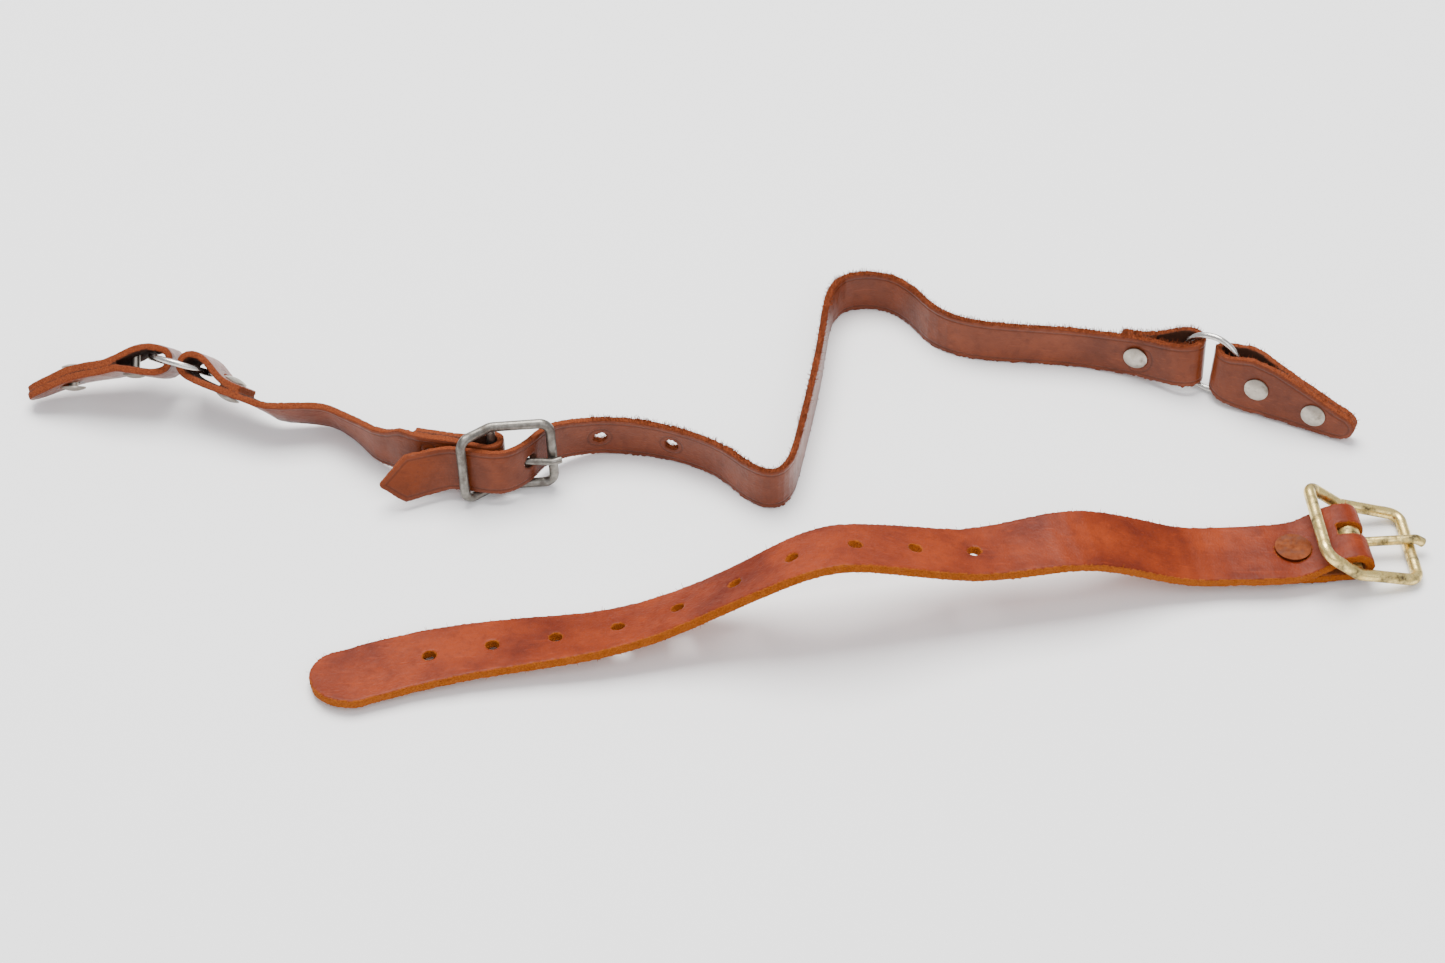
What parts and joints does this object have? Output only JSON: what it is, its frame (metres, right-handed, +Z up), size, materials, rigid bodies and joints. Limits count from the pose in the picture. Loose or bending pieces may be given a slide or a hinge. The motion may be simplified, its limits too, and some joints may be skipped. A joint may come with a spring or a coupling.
{
  "type": "spur strap pair",
  "caption": "Two leather spur straps: a brown one with steel buckle, end rings and riveted tabs, and a tan one with a brass buckle and rows of holes.",
  "frame": {"origin": "centre of the footprint of both straps, at the table", "axes": "+Z up from the table the straps rest on, +X along the straps towards the brass buckle"},
  "size_m": [0.349, 0.1454, 0.0259],
  "materials": {
    "brown_leather": "glossy with raw cut edges",
    "tan_leather": "oiled, scuffed, raw cut edges",
    "nickel": "bright",
    "pewter_steel": "dull grey plating",
    "brass": "worn, dark in the corners",
    "satin_caps": "satin",
    "copper_rivet": "oxidised"
  },
  "bodies": {
    "root": {"long_strap": "brown_leather", "long_strap_rivet_post": "satin_caps", "long_strap_rivet_cap": "satin_caps"},
    "steel_frame": {"steel_buckle_frame": "pewter_steel"},
    "steel_tongue": {"steel_buckle_tongue": "pewter_steel"},
    "buckle_strap": {"buckle_strap": "brown_leather", "ring_end_rivet_post": "satin_caps", "ring_end_rivet_cap": "satin_caps", "bar_end_rivet_post": "satin_caps", "bar_end_rivet_cap": "satin_caps"},
    "left_ring": {"left_ring": "nickel"},
    "left_tab": {"left_tab": "brown_leather", "left_tab_rivet_1_post": "satin_caps", "left_tab_rivet_1_cap": "satin_caps", "left_tab_rivet_2_post": "satin_caps", "left_tab_rivet_2_cap": "satin_caps"},
    "right_ring": {"right_ring": "nickel"},
    "right_tab": {"right_tab": "brown_leather", "right_tab_rivet_1_post": "satin_caps", "right_tab_rivet_1_cap": "satin_caps", "right_tab_rivet_2_post": "satin_caps", "right_tab_rivet_2_cap": "satin_caps"},
    "tan_strap": {"tan_strap": "tan_leather", "tan_rivet": "copper_rivet", "tan_rivet_washer": "copper_rivet"},
    "brass_frame": {"brass_buckle_frame": "brass"},
    "brass_tongue": {"brass_buckle_tongue": "brass"}
  },
  "joints": [
    {"name": "steel_frame_tilt", "type": "hinge", "parent": "root", "child": "steel_frame", "pos_m": [-0.05378, 0.00401, 0.0098], "axis": [-0.0502, 0.1572, 0.9863], "range_deg": [-1.5, 0]},
    {"name": "steel_tongue_lift", "type": "hinge", "parent": "steel_frame", "child": "steel_tongue", "pos_m": [-0.05378, 0.00401, 0.0098], "axis": [-0.0502, 0.1572, 0.9863], "range_deg": [-1.5, 1]},
    {"name": "buckle_strap_swing", "type": "hinge", "parent": "steel_frame", "child": "buckle_strap", "pos_m": [-0.05378, 0.00401, 0.0098], "axis": [-0.0502, 0.1572, 0.9863], "range_deg": [-12, 0]},
    {"name": "left_ring_swing", "type": "hinge", "parent": "buckle_strap", "child": "left_ring", "pos_m": [-0.12826, 0.03319, 0.01159], "axis": [-0.2031, -0.6352, 0.7452], "range_deg": [-20, 5]},
    {"name": "left_tab_swing", "type": "hinge", "parent": "left_ring", "child": "left_tab", "pos_m": [-0.1408, 0.03723, 0.01241], "axis": [-0.12, -0.6899, 0.7139], "range_deg": [-20, 3]},
    {"name": "right_ring_swing", "type": "hinge", "parent": "root", "child": "right_ring", "pos_m": [0.12227, 0.04304, 0.00881], "axis": [0, 0.1736, 0.9848], "range_deg": [-8, 6]},
    {"name": "right_tab_swing", "type": "hinge", "parent": "right_ring", "child": "right_tab", "pos_m": [0.13367, 0.03638, 0.00899], "axis": [0.0761, 0.175, 0.9816], "range_deg": [-1, 5]},
    {"name": "tan_strap_lift", "type": "slide", "parent": "root", "child": "tan_strap", "axis": [0, 0, 1], "range_m": [0, 0.05]},
    {"name": "brass_frame_swing", "type": "hinge", "parent": "tan_strap", "child": "brass_frame", "pos_m": [0.15527, -0.02064, 0.00555], "axis": [0.0698, -0.9976, 0], "range_deg": [0, 20]},
    {"name": "brass_tongue_lift", "type": "hinge", "parent": "brass_frame", "child": "brass_tongue", "pos_m": [0.15527, -0.02064, 0.00555], "axis": [0.0698, -0.9976, 0], "range_deg": [0, 100]}
  ]
}
